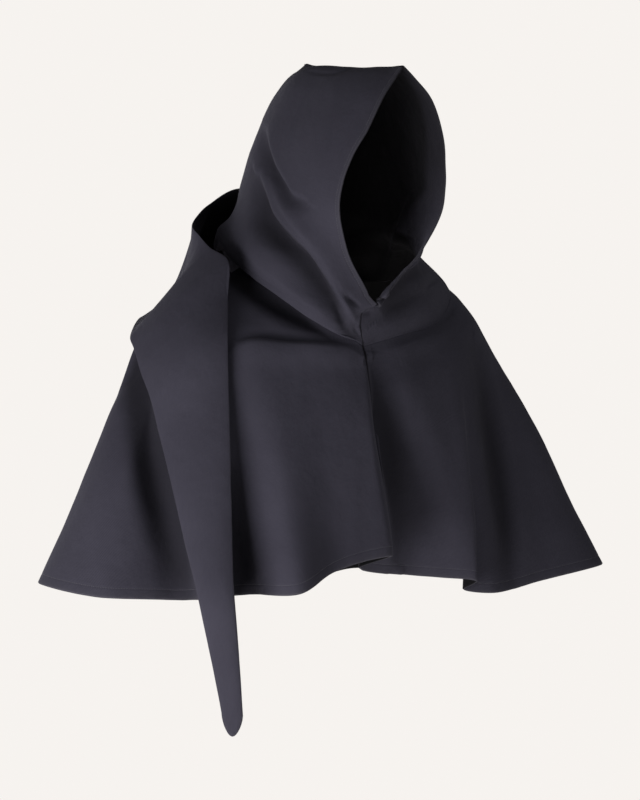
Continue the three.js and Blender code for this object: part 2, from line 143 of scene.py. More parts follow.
# Lower sections: their points from the face edge or throat seam, past the jaw and ear, to the back seam
HOOD_LOWER = {
    "right": [
        [(-56, -167, -258), (-88, -140, -256), (-115, -85, -250), (-126, 0, -236),
         (-110, 78, -214), (-62, 130, -238), (0, 142, -255)],
        [(-22, -156, -308), (-62, -148, -318), (-108, -95, -290), (-130, 5, -250),
         (-115, 75, -226), (-64, 128, -258), (0, 146, -300)],
        [(-20, -152, -324), (-61, -144, -340), (-106, -97, -307), (-130, 8, -256),
         (-115, 74, -230), (-63, 127, -270), (0, 149, -320)],
        [(-12.5, -134, -371), (-58, -136, -359), (-100, -95, -322), (-128, 10, -262),
         (-114, 72, -234), (-62, 125, -282), (0, 150, -340)],
        [(-12, -133, -376), (-47, -122, -350), (-76, -78, -306), (-90, -5, -262),
         (-82, 55, -262), (-50, 95, -290), (0, 112, -318)],
    ],
    "left": [
        [(50, -165, -263), (71, -146, -252), (98, -90, -228), (110, -6, -208),
         (100, 72, -207), (58, 125, -235), (0, 142, -255)],
        [(-2, -157, -320), (44, -150, -292), (90, -108, -262), (114, -8, -222),
         (103, 68, -218), (59, 125, -250), (0, 146, -300)],
        [(-20, -152, -324), (42, -146, -320), (101, -110, -290), (146, -14, -246),
         (112, 66, -240), (59, 124, -268), (0, 149, -320)],
        [(-12.5, -134, -371), (46, -131, -349), (118, -98, -316), (184, -10, -274),
         (136, 64, -262), (58, 120, -284), (0, 150, -340)],
        [(-12, -133, -376), (50, -122, -361), (134, -84, -341), (198, -8, -287),
         (148, 66, -275), (56, 102, -292), (0, 112, -318)],
    ],
}
# Folds, seen from the camera's side as (across, up): a valley's depth, and how far it reaches
# to the left and to the right of its path. A negative depth is a ridge.
HOOD_FOLDS = {
    "right": [
        # The upper slanting fold, hooked at its lower end
        {"depth": 13, "left": 4, "right": 13,
         "path": [(-74, -86), (-70, -112), (-62, -138), (-50, -162), (-38, -182), (-20, -192)]},
        # The long fold from the back of the cheek to the throat, the ridge above it and the roll below
        {"depth": 19, "left": 5, "right": 23,
         "path": [(-84, -150), (-76, -180), (-68, -204), (-46, -234), (-22, -260), (0, -290), (22, -322),
                  (44, -350)]},
        {"depth": -6, "left": 16, "right": 5,
         "path": [(-66, -152), (-50, -190), (-28, -224), (-4, -254), (20, -292)]},
        {"depth": -6, "left": 20, "right": 8,
         "path": [(-108, -232), (-84, -262), (-48, -292), (-8, -326), (26, -348)]},
        # Gathers at the throat
        {"depth": 4, "left": 2.5, "right": 3.5, "path": [(33, -312), (41, -318), (50, -324)]},
        {"depth": -5, "left": 6, "right": 6, "path": [(27, -318), (36, -334), (44, -352)]},
        {"depth": 3, "left": 4, "right": 6, "path": [(18, -322), (29, -341), (40, -356)]},
        # Beside the crown seam
        {"depth": 1.6, "left": 2.5, "right": 3.5, "path": [(-15, -12), (16, -20), (44, -15), (90, -14)]},
        # The face edge turns in
        {"depth": 3.5, "left": 17, "right": 19,
         "path": [(90, -36), (76, -69), (55, -113), (36, -156), (27, -194)]},
        # Fullness over the temple
        {"depth": -7, "left": 58, "right": 70, "path": [(-84, -128), (-30, -118), (20, -110), (56, -104)]},
    ],
    "left": [
        # A gather at the throat
        {"depth": 2, "left": 2, "right": 3, "path": [(56, -336), (63, -334), (69, -333)]},
        # A soft fold down the cheek
        {"depth": 5, "left": 10, "right": 9, "path": [(112, -165), (104, -210), (92, -255), (80, -300)]},
        # A hollow on the shoulder, and one below the face edge
        {"depth": 12, "left": 20, "right": 12, "path": [(84, -338), (110, -322), (140, -300)]},
        {"depth": 8, "left": 12, "right": 4,
         "path": [(142, -256), (131, -267), (118, -281), (104, -298), (90, -316)]},
    ],
}
# Painted shade in a crease is at its darkest where the fold is this deep
CREASE_DEPTH = 11
# Inside, the cloth gets painted shade, lighter beside the face edge where light reaches in: how far from it
# at each section, how softly that ends as a share of the distance, and how much painted shade is still there
LIT_BAND_INSIDE = {"right": [14] * 12, "left": [30, 34, 40, 48, 56, 62, 108, 145, 130, 60, 30, 20]}
LIT_BAND_FADE = 0.35
PAINTED_SHADE_BESIDE_FACE = [0.8, 0.8, 0.8, 0.8, 0.78, 0.62, 0.4, 0, 0, 0.4, 0.8, 1]
# The left half has a soft fold on its inner side, which ends where the cloth turns from the camera
INNER_FACING = 0.2
INNER_FOLD = {
    "path": [(122, -176), (112, -212), (97, -250), (80, -300)],
    "left": 9, "right": 6, "depth": 9,
}

# Where the cloth's grid reads the curves: finest beside the face edge, the seams and the neck
HOOD_COLUMNS = np.concatenate([
    np.linspace(0, 0.4, 26), np.linspace(0.45, 5.85, 104), np.linspace(5.9, 6, 8),
])
HOOD_ROWS = np.concatenate([
    np.linspace(0, 0.3, 8), np.linspace(0.36, THROAT_SECTION, 140),
    np.linspace(THROAT_SECTION + 0.06, 10.9, 40), np.linspace(10.93, 11, 4),
])
THROAT_ROW = int(np.searchsorted(HOOD_ROWS, THROAT_SECTION - 1e-6))


def through(points, knots, closed=False):
    """A smooth curve through points, read at knots where 0 is the first point and 1 the second."""
    points = np.asarray(points, float)
    knots = np.asarray(knots, float)
    if closed:
        padded = np.concatenate([points[-1:], points, points[:2]])
    else:
        padded = np.concatenate([2 * points[:1] - points[1:2], points, 2 * points[-1:] - points[-2:-1]])
    start = np.clip(np.floor(knots).astype(int), 0, len(points) - (1 if closed else 2))
    t = (knots - start).reshape((-1,) + (1,) * (points.ndim - 1))
    before, first, second, after = (padded[start + k] for k in range(4))

    def spacing(a, b):
        return np.maximum(np.sqrt(np.linalg.norm(b - a, axis=-1, keepdims=True)), 1e-4)

    d0, d1, d2 = spacing(before, first), spacing(first, second), spacing(second, after)
    leave = ((first - before) / d0 - (second - before) / (d0 + d1) + (second - first) / d1) * d1
    arrive = ((second - first) / d1 - (after - first) / (d1 + d2) + (after - second) / d2) * d1
    cubic = 2 * first - 2 * second + leave + arrive
    square = -3 * first + 3 * second - 2 * leave - arrive
    return ((cubic * t + square) * t + leave) * t + first


def cloth_normals(grid, side, ring=False):
    """Unit normals of a grid of points. side is 1 where its columns run clockwise seen from above."""
    if ring:
        along = np.roll(grid, -1, axis=1) - np.roll(grid, 1, axis=1)
    else:
        along = np.gradient(grid, axis=1)
    normals = side * np.cross(along, np.gradient(grid, axis=0))
    return normals / np.maximum(np.linalg.norm(normals, axis=-1, keepdims=True), 1e-9)


def fold_depth(grid, folds):
    """How deep the folds are at each point of a grid, as seen from the camera's side."""
    across = grid[..., 0] * math.cos(VIEW_TURN) + grid[..., 1] * math.sin(VIEW_TURN)
    spot = np.stack([across, grid[..., 2]], axis=-1)
    depth = np.zeros(grid.shape[:2])
    for fold in folds:
        count = len(fold["path"]) - 1
        line = through(fold["path"], np.linspace(0, count, FOLD_STEPS * count + 1))
        heading = np.gradient(line, axis=0)
        close = np.full(grid.shape[:2], np.inf)
        nearest = np.zeros(grid.shape[:2], int)
        for i, point in enumerate(line):
            distance = np.linalg.norm(spot - point, axis=-1)
            nearest[distance < close] = i
            close = np.minimum(close, distance)
        offset = spot - line[nearest]
        ahead = heading[nearest]
        on_left = ahead[..., 0] * offset[..., 1] - ahead[..., 1] * offset[..., 0] > 0
        reach = np.where(on_left, fold["left"], fold["right"])
        way = FOLD_TAPER["start"] + FOLD_TAPER["range"] * nearest / (len(line) - 1)
        taper = np.sin(np.pi * way)
        depth += fold["depth"] * taper * np.exp(-((close / reach) ** 2))
    return depth


def press_folds(grid, side, folds, free, ring=False):
    """Presses folds in where cloth is free and faces the camera's side. Returns the painted shade for its
    creases, darker where they are deeper.
    """
    normals = cloth_normals(grid, side, ring)
    towards = normals @ np.array([math.sin(VIEW_TURN), -math.cos(VIEW_TURN), 0])
    facing = np.clip((towards - FOLD_FACING["start"]) / FOLD_FACING["range"], 0, 1)
    depth = fold_depth(grid, folds) * facing * free
    grid -= normals * depth[..., None]
    return np.clip(depth / CREASE_DEPTH, 0, 1)


def ripple(grid, side, free, ring, seed):
    """Gives cloth the slight unevenness of having been worn and folded."""
    normals = cloth_normals(grid, side, ring)
    offset = Vector((seed, 3 * seed, 7 * seed))
    rise = np.zeros(grid.shape[:2])
    for r, row in enumerate(grid):
        for c, (x, y, z) in enumerate(row):
            for wave in RIPPLES:
                spot = Vector((x / wave["wide"], y / wave["wide"], z / wave["tall"]))
                rise[r, c] += wave["rise"] * noise.noise(spot + offset)
    grid += normals * (rise * free)[..., None]


def lengths_along(grid, axis):
    """Length of cloth from the start of each row or column to each point."""
    steps = np.linalg.norm(np.diff(grid, axis=axis), axis=-1)
    start = np.zeros_like(np.take(steps, [0], axis=axis))
    return np.concatenate([start, np.cumsum(steps, axis=axis)], axis=axis)


def cloth_shell(name, outer, inner, side, painted_inside_shade, from_edge, from_seam, painted_crease_shade):
    """A closed sheet between two skins, with rounded edges, as an object.

    It also takes the painted shade of its inner side and of the creases on its outer side. from_edge and
    from_seam are distances over the cloth.
    """
    rows, columns = outer.shape[:2]
    number = np.arange(rows * columns).reshape(rows, columns)
    border = np.concatenate([
        number[0, :-1], number[:-1, -1], number[-1, :0:-1], number[:0:-1, 0],
    ])
    inset = np.clip(np.arange(rows), 1, rows - 2)[:, None], np.clip(np.arange(columns), 1, columns - 2)
    outward = outer - outer[inset]
    outward /= np.maximum(np.linalg.norm(outward, axis=-1, keepdims=True), 1e-9)
    thickness = np.linalg.norm(outer - inner, axis=-1, keepdims=True)
    rim = ((outer + inner) / 2 + outward * thickness * RIM_ROUND).reshape(-1, 3)[border]
    vertices = np.concatenate([outer.reshape(-1, 3), inner.reshape(-1, 3), rim])
    a, b, c, d = number[:-1, :-1], number[:-1, 1:], number[1:, 1:], number[1:, :-1]
    faces = [np.stack([a, b, c, d], -1).reshape(-1, 4)]
    faces.append(np.stack([a, d, c, b], -1).reshape(-1, 4) + rows * columns)
    here, there = border, np.roll(border, -1)
    rim_here = 2 * rows * columns + np.arange(len(border))
    rim_there = np.roll(rim_here, -1)
    faces.append(np.stack([there, here, rim_here, rim_there], -1))
    faces.append(np.stack([rim_there, rim_here, here + rows * columns, there + rows * columns], -1))
    faces = np.concatenate(faces)
    if side < 0:
        faces = faces[:, ::-1]
    mesh = smooth_mesh(name, vertices, faces.tolist())
    weave = np.stack([lengths_along(outer, 1), lengths_along(outer, 0), np.zeros((rows, columns))], -1)
    weave = weave.reshape(-1, 3) * MM
    add_attribute(mesh, "weave", "FLOAT_VECTOR", np.concatenate([weave, weave, weave[border]]))
    # Painted shade on the inner side, and some on the rounded rim
    zeros = np.zeros(rows * columns)
    rim_shade = np.full(len(border), RIM_SHADE)
    add_attribute(mesh, "painted_inside_shade", "FLOAT", np.concatenate([zeros, painted_inside_shade.ravel(), rim_shade]))
    edge = np.exp(-from_edge / WEAR_REACH).ravel()
    add_attribute(mesh, "edge", "FLOAT", np.concatenate([edge, edge, edge[border]]))
    # Painted shade along the groove of each seam
    seam = np.exp(-((from_seam / SEAM_SHADE_WIDTH) ** 2)).ravel()
    add_attribute(mesh, "seam", "FLOAT", np.concatenate([seam, seam, seam[border]]))
    # Painted shade in the creases of the outer side only
    painted_crease_shade = painted_crease_shade.ravel()
    add_attribute(mesh, "painted_crease_shade", "FLOAT", np.concatenate([painted_crease_shade, 0 * painted_crease_shade, painted_crease_shade[border]]))
    return add_object(name, mesh)


def smooth_mesh(name, vertices, faces):
    """A smooth mesh from points in millimetres."""
    mesh = bpy.data.meshes.new(name)
    mesh.from_pydata((vertices * MM).tolist(), [], faces)
    mesh.polygons.foreach_set("use_smooth", np.ones(len(mesh.polygons), bool))
    return mesh


def add_attribute(mesh, name, kind, values):
    """Stores values on a mesh's points, where the material reads them."""
    attribute = mesh.attributes.new(name, kind, "POINT")
    field = "vector" if kind == "FLOAT_VECTOR" else "value"
    attribute.data.foreach_set(field, values.astype(np.float32).ravel())


def upper_section(row, sign):
    """The seven points of an upper section, from three of them."""
    face, flank, back = (np.array(row[key], float) for key in ("face", "side", "back"))
    points = []
    for t in (0, 1 / 3, 2 / 3):
        turned = 1 - (1 - t) ** CHEEK_ROUNDNESS
        x = face[0] + (flank[0] - face[0]) * turned
        y, z = face[1:] + (flank[1:] - face[1:]) * t
        points.append((sign * x, y, z))
    for t in (0, 1 / 3, 2 / 3, 1):
        share = math.sin(t * math.pi / 2)
        x = back[0] + (flank[0] - back[0]) * math.cos(t * math.pi / 2)
        y, z = flank[1:] + (back[1:] - flank[1:]) * share
        points.append((sign * x, y, z))
    return points


def shape_throat(outer, hand):
    """Draws the cloth beside the throat to the end of the face edge and to the front seam."""
    line = np.array(THROAT_EDGE[hand] + FRONT_SEAM, float)
    now = np.stack([np.interp(line[:, 0], HOOD_ROWS, outer[:, 0, k]) for k in range(3)], -1)
    sections = np.r_[TUCK_START, line[:, 0]]
    pull = np.stack([
        np.interp(HOOD_ROWS, sections, np.r_[0, line[:, 1 + k] - now[:, k]]) for k in range(3)
    ], -1)
    along = lengths_along(outer, 1)
    outer += pull[:, None] * np.exp(-((along / TUCK_REACH) ** 2))[..., None]


def hood_half(hand, sign):
    """Outer and inner skin of one half of the hood, and what cloth_shell needs to know of it."""
    side = -sign
    sections = [upper_section(row, sign) for row in [*HOOD_UPPER, HOOD_TURN[hand]]]
    sections = np.array(sections + HOOD_LOWER[hand], float)
    drawn = through(sections.transpose(1, 0, 2), HOOD_COLUMNS)
    outer = through(drawn.transpose(1, 0, 2), HOOD_ROWS)
    shape_throat(outer, hand)
    for pull in CROWN_PULLS + (CORNER_PULLS if hand == "right" else []):
        distance = np.linalg.norm(outer - pull["at"], axis=-1)
        outer += np.exp(-((distance / pull["reach"]) ** 2))[..., None] * pull["move"]
    to_neck = lengths_along(outer[::-1], 0)[::-1]
    free = np.clip(to_neck / NECK_HOLD["hood"], 0, 1)
    # Folds, and the painted shade in their creases
    painted_crease_shade = press_folds(outer, side, HOOD_FOLDS[hand], free)
    ripple(outer, side, free, False, RIPPLE_SEED["hood_" + hand])
    seam = np.array(FRONT_SEAM, float)
    for k in range(3):
        outer[THROAT_ROW:, 0, k] = np.interp(HOOD_ROWS[THROAT_ROW:], seam[:, 0], seam[:, 1 + k])
    from_face = lengths_along(outer, 1)
    from_seam = np.minimum(from_face[:, -1:] - from_face, lengths_along(outer, 0))
    from_seam[THROAT_ROW:] = np.minimum(from_seam[THROAT_ROW:], from_face[THROAT_ROW:])
    groove = SEAM_GROOVE["depth"] * np.exp(-((from_seam / SEAM_GROOVE["width"]) ** 2))
    from_edge = from_face.copy()
    from_edge[THROAT_ROW:] = np.inf
    groove += STITCH_GROOVE["depth"] * np.exp(-(((from_edge - FACE_HEM) / STITCH_GROOVE["width"]) ** 2))
    normals = cloth_normals(outer, side)
    normals[0, :, 0] = normals[:, -1, 0] = 0
    normals[THROAT_ROW:, 0] = (0, -1, 0)
    normals /= np.linalg.norm(normals, axis=-1, keepdims=True)
    outer -= normals * groove[..., None]
    hem = np.clip((FACE_HEM + FACE_HEM_FADE - from_edge) / FACE_HEM_FADE, 0, 1)
    inner = outer - normals * (CLOTH + (FACE_HEM_CLOTH - CLOTH) * hem)[..., None]
    # Painted shade on the inner side, lighter in a band beside the face edge where light reaches in
    numbers = np.arange(len(PAINTED_SHADE_BESIDE_FACE))
    lit_band = np.interp(HOOD_ROWS, numbers, LIT_BAND_INSIDE[hand])[:, None]
    least = np.interp(HOOD_ROWS, numbers, PAINTED_SHADE_BESIDE_FACE)[:, None]
    painted_inside_shade = least + (1 - least) * np.clip((from_face - lit_band) / (LIT_BAND_FADE * lit_band) + 0.5, 0, 1)
    if hand == "left":
        towards = normals @ np.array([-math.sin(VIEW_TURN), math.cos(VIEW_TURN), 0])
        stands = fold_depth(inner, [INNER_FOLD]) * np.clip(towards / INNER_FACING, 0, 1)
        inner -= normals * stands[..., None]
    for skin in (outer, inner):
        hold_at_seams(skin, sign)
    return outer, inner, side, painted_inside_shade, from_edge, from_seam, painted_crease_shade


def hold_at_seams(skin, sign):
    """Keeps one half of the hood on its own side of the crown, back and throat seams."""
    columns = skin.shape[1]
    x, y, z = skin[..., 0], skin[..., 1], skin[..., 2]
    seam = np.array(FRONT_SEAM, float)
    below = (y < 0) & (z < seam[0, 3])
    clear = np.where(below, np.interp(-z, -seam[:, 3], seam[:, 1]), 0) + sign * HALF_GAP
    beside = np.zeros(skin.shape[:2], bool)
    beside[:THROAT_ROW // NEAR_SEAM] = True
    beside[:, -columns // NEAR_SEAM:] = True
    beside[THROAT_ROW:] = True
    beside[THROAT_ROW:, 0] = False
    crossed = beside & (sign * (x - clear) < 0)
    x[crossed] = clear[crossed]
    x[0, :] = sign * HALF_GAP
    x[:, -1] = sign * HALF_GAP


hood_right_sheet = hood_half("right", -1)
hood_left_sheet = hood_half("left", 1)
hood_right = cloth_shell("hood_right_cloth", *hood_right_sheet)
hood_left = cloth_shell("hood_left_cloth", *hood_left_sheet)


def add_node(tree, kind, values=(), **settings):
    """A node with its settings, and its sockets' plain values by name or number."""
    node = tree.nodes.new(kind)
    for key, value in settings.items():
        setattr(node, key, value)
    for key, value in dict(values).items():
        node.inputs[key].default_value = value
    return node


TWILL_DARK = (0.037, 0.035, 0.049, 1)
TWILL_LIGHT = (0.064, 0.061, 0.083, 1)
TWILL_WORN = (0.082, 0.079, 0.094, 1)
# The near-black colour of the painted shade
TWILL_PAINTED_SHADE = (0.0035, 0.0032, 0.0040, 1)
# Distance between the diagonal ribs, and their slant in degrees
RIB_PITCH = 1.15
RIB_SLANT = 63
# How dark the painted shade in the creases, along the grooves of the seams and on the inner side is at most
PAINTED_SHADE_STRENGTH = {"painted_crease_shade": 0.62, "seam": 1, "painted_inside_shade": 1}


def twill_material():
    """Dark cotton twill: diagonal ribs, uneven yarn, slight fading and worn edges, with painted shade in its
    creases, along its seams and on its inner side.
    """
    material = bpy.data.materials.new("twill")
    material.use_nodes = True
    tree = material.node_tree
    tree.nodes.clear()
    link = tree.links.new
    output = add_node(tree, "ShaderNodeOutputMaterial")
    surface = add_node(tree, "ShaderNodeBsdfPrincipled", {
        "Sheen Weight": 0.08, "Sheen Roughness": 0.45, "Sheen Tint": (0.80, 0.78, 0.95, 1), "IOR": 1.45,
        "Specular IOR Level": 0.2,
    })
    link(surface.outputs["BSDF"], output.inputs["Surface"])
    weave = add_node(tree, "ShaderNodeAttribute", attribute_name="weave")
    diagonal = add_node(tree, "ShaderNodeMapping", {
        "Scale": (1 / MM, 1 / MM, 1 / MM), "Rotation": (0, 0, math.radians(RIB_SLANT)),
    })
    # A wave texture of scale 1 repeats after 2 pi / 20
    ribs = add_node(tree, "ShaderNodeTexWave", {
        "Scale": 2 * math.pi / 20 / RIB_PITCH, "Distortion": 0.8, "Detail": 1.0, "Detail Scale": 2.0,
    })
    link(weave.outputs["Vector"], diagonal.inputs["Vector"])
    link(diagonal.outputs["Vector"], ribs.inputs["Vector"])

    def uneven_yarn(scale):
        """Noise drawn out along the warp or the weft."""
        stretch = add_node(tree, "ShaderNodeMapping", {"Scale": scale})
        uneven = add_node(tree, "ShaderNodeTexNoise", {"Scale": 1.0, "Detail": 3.0, "Roughness": 0.6})
        link(weave.outputs["Vector"], stretch.inputs["Vector"])
        link(stretch.outputs["Vector"], uneven.inputs["Vector"])
        return uneven

    slubs = uneven_yarn((700, 45, 1))
    cross_slubs = uneven_yarn((38, 620, 1))
    place = add_node(tree, "ShaderNodeTexCoord")
    fading = add_node(tree, "ShaderNodeTexNoise", {"Scale": 9.0, "Detail": 4.0, "Roughness": 0.55})
    link(place.outputs["Object"], fading.inputs["Vector"])
    lint = add_node(tree, "ShaderNodeTexNoise", {"Scale": 420.0, "Detail": 2.0})
    link(place.outputs["Object"], lint.inputs["Vector"])

    def mixed(parts):
        """A weighted sum of texture values."""
        total = None
        for source, weight in parts:
            scaled = add_node(tree, "ShaderNodeMath", {1: weight}, operation="MULTIPLY")
            link(source, scaled.inputs[0])
            if total is None:
                total = scaled.outputs[0]
            else:
                joined = add_node(tree, "ShaderNodeMath", operation="ADD")
                link(total, joined.inputs[0])
                link(scaled.outputs[0], joined.inputs[1])
                total = joined.outputs[0]
        return total

    tone = mixed([
        (ribs.outputs["Fac"], 0.25), (slubs.outputs["Fac"], 0.3), (cross_slubs.outputs["Fac"], 0.25),
        (fading.outputs["Fac"], 0.45), (lint.outputs["Fac"], 0.1),
    ])
    spread = add_node(tree, "ShaderNodeMapRange", {"From Min": 0.35, "From Max": 0.95})
    link(tone, spread.inputs["Value"])
    colour = add_node(tree, "ShaderNodeMix", {6: TWILL_DARK, 7: TWILL_LIGHT}, data_type="RGBA")
    link(spread.outputs["Result"], colour.inputs["Factor"])
    edge = add_node(tree, "ShaderNodeAttribute", attribute_name="edge")
    wear = add_node(tree, "ShaderNodeMath", operation="MULTIPLY")
    link(edge.outputs["Fac"], wear.inputs[0])
    link(lint.outputs["Fac"], wear.inputs[1])
    worn = add_node(tree, "ShaderNodeMix", {7: TWILL_WORN}, data_type="RGBA")
    link(wear.outputs[0], worn.inputs["Factor"])
    link(colour.outputs[2], worn.inputs[6])
    shade = worn.outputs[2]
    # Painted shade in the creases, along the seams and on the inner side
    for mark, darkness in PAINTED_SHADE_STRENGTH.items():
        here = add_node(tree, "ShaderNodeAttribute", attribute_name=mark)
        share = add_node(tree, "ShaderNodeMath", {1: darkness}, operation="MULTIPLY")
        darker = add_node(tree, "ShaderNodeMix", {7: TWILL_PAINTED_SHADE}, data_type="RGBA")
        link(here.outputs["Fac"], share.inputs[0])
        link(share.outputs[0], darker.inputs["Factor"])
        link(shade, darker.inputs[6])
        shade = darker.outputs[2]
    link(shade, surface.inputs["Base Color"])
    roughness = add_node(tree, "ShaderNodeMapRange", {"To Min": 0.82, "To Max": 0.97})
    link(slubs.outputs["Fac"], roughness.inputs["Value"])
    link(roughness.outputs["Result"], surface.inputs["Roughness"])
    relief = mixed([
        (ribs.outputs["Fac"], 0.55), (slubs.outputs["Fac"], 0.5), (cross_slubs.outputs["Fac"], 0.4),
        (lint.outputs["Fac"], 0.25),
    ])
    weave_bump = add_node(tree, "ShaderNodeBump", {"Strength": 0.55, "Distance": 0.0004})
    link(relief, weave_bump.inputs["Height"])
    crumple = add_node(tree, "ShaderNodeTexNoise", {"Scale": 34.0, "Detail": 4.0, "Roughness": 0.55})
    crumple_bump = add_node(tree, "ShaderNodeBump", {"Strength": 0.4, "Distance": 0.004})
    link(place.outputs["Object"], crumple.inputs["Vector"])
    link(crumple.outputs["Fac"], crumple_bump.inputs["Height"])
    link(crumple_bump.outputs["Normal"], weave_bump.inputs["Normal"])
    link(weave_bump.outputs["Normal"], surface.inputs["Normal"])
    return material


twill = twill_material()


def wear_cloth(piece, node):
    """Gives a sheet its twill and its body, and hides the solid it stands for."""
    piece.data.materials.append(twill)
    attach(piece, "root")
    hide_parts(node)


wear_cloth(hood_right, "hood_right")
wear_cloth(hood_left, "hood_left")


# Cape
# A flared yoke and skirt in two halves, joined at the back and at the front, where the right half
# laps over the left in a pleat. It hangs in soft folds, and its hem is turned up and topstitched.

# The knee is the turn from the shoulder into the skirt: how far out it is, its height and its drop
KNEE = {"right": 235, "left": 246, "front": 165, "back": 135, "middle_y": 20, "front_shift": -5}
KNEE_Z = {"right": -335, "left": -325}
KNEE_DROP = {"front": 115, "back": 50}
# The plain hem, and how the cloth between knee and hem takes up its flare and its folds
HEM = {"middle_x": 13, "half_width": 385, "front": 215, "back": 250, "middle_y": 20, "z": -690}
SHOULDER_RISE = {"right": 0, "left": 6}
FLARE_AT_MIDDLE = {"ends": 0.5, "right": 0.47, "left": 0.56}
FOLD_AT_MIDDLE = 0.42
HEM_KNOT = 4
# Thickness of the turned hem, its height, how softly it ends, and the row of stitches in it
HEM_CLOTH = 3
CAPE_HEM = 14
CAPE_HEM_FADE = 1.5
CAPE_STITCHES = 12
# Columns of the cloth's grid between two hem stations
CAPE_STEPS = 16

# Hem stations: turn from the centre front in degrees, and where the hem is there
HEM_RIGHT = [
    (0, 0, -183, -645), (8, -48, -184, -651), (16, -85, -182, -662), (32, -145, -202, -685),
    (46, -185, -132, -689), (60, -242, -158, -690), (72, -262, -90, -695), (88, -352, -52, -691),
    (105, -373, 88, -682), (118, -318, 128, -688), (130, -300, 195, -692), (143, -215, 205, -698),
    (155, -160, 282, -696), (167, -85, 240, -700), (180, 0, 285, -696),
]
HEM_LEFT = [
    (3, -12, -125, -664), (14, 72, -108, -677), (24, 110, -127, -680), (34, 152, -152, -685),
    (38, 152, -124, -698), (48, 200, -127, -704), (66, 280, -117, -692), (80, 399, -99, -675),
    (92, 428, 0, -682), (104, 372, 70, -690), (116, 370, 165, -692), (130, 275, 180, -698),
    (143, 215, 262, -696), (156, 130, 232, -700), (168, 75, 280, -697),
]
CAPE_FOLDS = [
    # The shelf that the hood's roll shades, and the ridge and crease below it
    {"depth": 12, "left": 16, "right": 16,
     "path": [(46, -360), (14, -352), (-24, -334), (-62, -314), (-100, -290), (-128, -262), (-156, -232)]},
    {"depth": -6, "left": 22, "right": 7,
     "path": [(52, -382), (0, -378), (-46, -376), (-88, -374), (-108, -380)]},
    {"depth": 5, "left": 3, "right": 8,
     "path": [(56, -373), (0, -369), (-40, -367), (-84, -363), (-104, -368)]},
    # The crease on the left of the front seam, and the ridge below it
    {"depth": 7, "left": 9, "right": 5,
     "path": [(60, -370), (84, -363), (110, -356), (138, -347), (158, -339), (178, -326)]},
    {"depth": -4, "left": 8, "right": 16, "path": [(70, -385), (110, -374), (150, -362), (190, -345)]},
    # The valleys on both sides of the tail, and the swell outside the outer one
    {"depth": 16, "left": 15, "right": 16,
     "path": [(-116, -540), (-112, -600), (-103, -650), (-92, -700), (-84, -740)]},
    {"depth": 26, "left": 21, "right": 21,
     "path": [(-236, -268), (-242, -330), (-242, -385), (-236, -440), (-215, -523), (-197, -590),
              (-170, -700)]},
    {"depth": -6, "left": 16, "right": 46, "path": [(-268, -430), (-272, -520), (-280, -600), (-292, -680)]},
    # The valley behind the front pleat, the ridge beyond it and the full edge of the pleat itself
    {"depth": 13, "left": 30, "right": 9, "path": [(70, -400), (80, -470), (94, -550), (108, -660)]},
    {"depth": -8, "left": 26, "right": 22, "path": [(110, -410), (146, -500), (178, -600), (192, -660)]},
    {"depth": -10, "left": 8, "right": 60,
     "path": [(56, -405), (60, -470), (67, -530), (78, -600), (88, -660)]},
    # The last valley and ridge before the left side
    {"depth": 13, "left": 14, "right": 22,
     "path": [(216, -375), (232, -460), (246, -540), (256, -620), (262, -700)]},
    {"depth": -6, "left": 26, "right": 24, "path": [(262, -400), (296, -500), (330, -620)]},
]
CAPE_ROWS = np.concatenate([
    np.linspace(0, 2, 48), np.linspace(2.04, 3.86, 54), np.linspace(3.875, HEM_KNOT, 20),
])


def cape_column(station, sign):
    """The five points of one column of the cape, from the neck to a hem station."""
    degrees, *place = station
    hand = "right" if sign < 0 else "left"
    turn = math.radians(degrees)
    sine, cosine = math.sin(turn), math.cos(turn)
    depth = "front" if cosine > 0 else "back"
    neck_seam = HOOD_LOWER[hand][-1]
    neck = through(neck_seam, [degrees / 180 * (len(neck_seam) - 1)])[0]
    knee = np.array((
        sign * KNEE[hand] * sine + KNEE["front_shift"] * max(cosine, 0),
        KNEE["middle_y"] - KNEE[depth] * cosine,
        KNEE_Z["left"] + (KNEE_Z[hand] - KNEE_Z["left"]) * sine ** 2 - KNEE_DROP[depth] * cosine ** 2,
    ))
    yoke = (neck + knee) / 2 + (0, 0, SHOULDER_RISE[hand] * sine ** 2)
    plain = np.array((
        HEM["middle_x"] + sign * HEM["half_width"] * sine,
        HEM["middle_y"] - HEM[depth] * cosine,
        HEM["z"],
    ))
    flare = FLARE_AT_MIDDLE["ends"] + (FLARE_AT_MIDDLE[hand] - FLARE_AT_MIDDLE["ends"]) * sine ** 2
    middle = knee + (plain - knee) * flare
    middle[2] = (knee[2] + plain[2]) / 2
    middle += (np.array(place) - plain) * FOLD_AT_MIDDLE
    return [neck, yoke, knee, middle, np.array(place, float)]


columns = [cape_column(station, -1) for station in reversed(HEM_RIGHT)]
columns += [cape_column(station, 1) for station in HEM_LEFT]
drawn = through(np.array(columns).transpose(1, 0, 2), CAPE_ROWS)
ring_knots = np.arange(len(columns) * CAPE_STEPS) / CAPE_STEPS
ring = through(drawn.transpose(1, 0, 2), ring_knots, closed=True).transpose(1, 0, 2)
free = np.clip(lengths_along(ring, 0) / NECK_HOLD["cape"], 0, 1)
# Folds, and the painted shade in their creases
cape_painted_crease_shade = press_folds(ring, -1, CAPE_FOLDS, free, ring=True)
ripple(ring, -1, free, True, RIPPLE_SEED["cape"])
ring_normals = cloth_normals(ring, -1, ring=True)
to_hem = lengths_along(ring, 0)
to_hem = to_hem[-1:] - to_hem


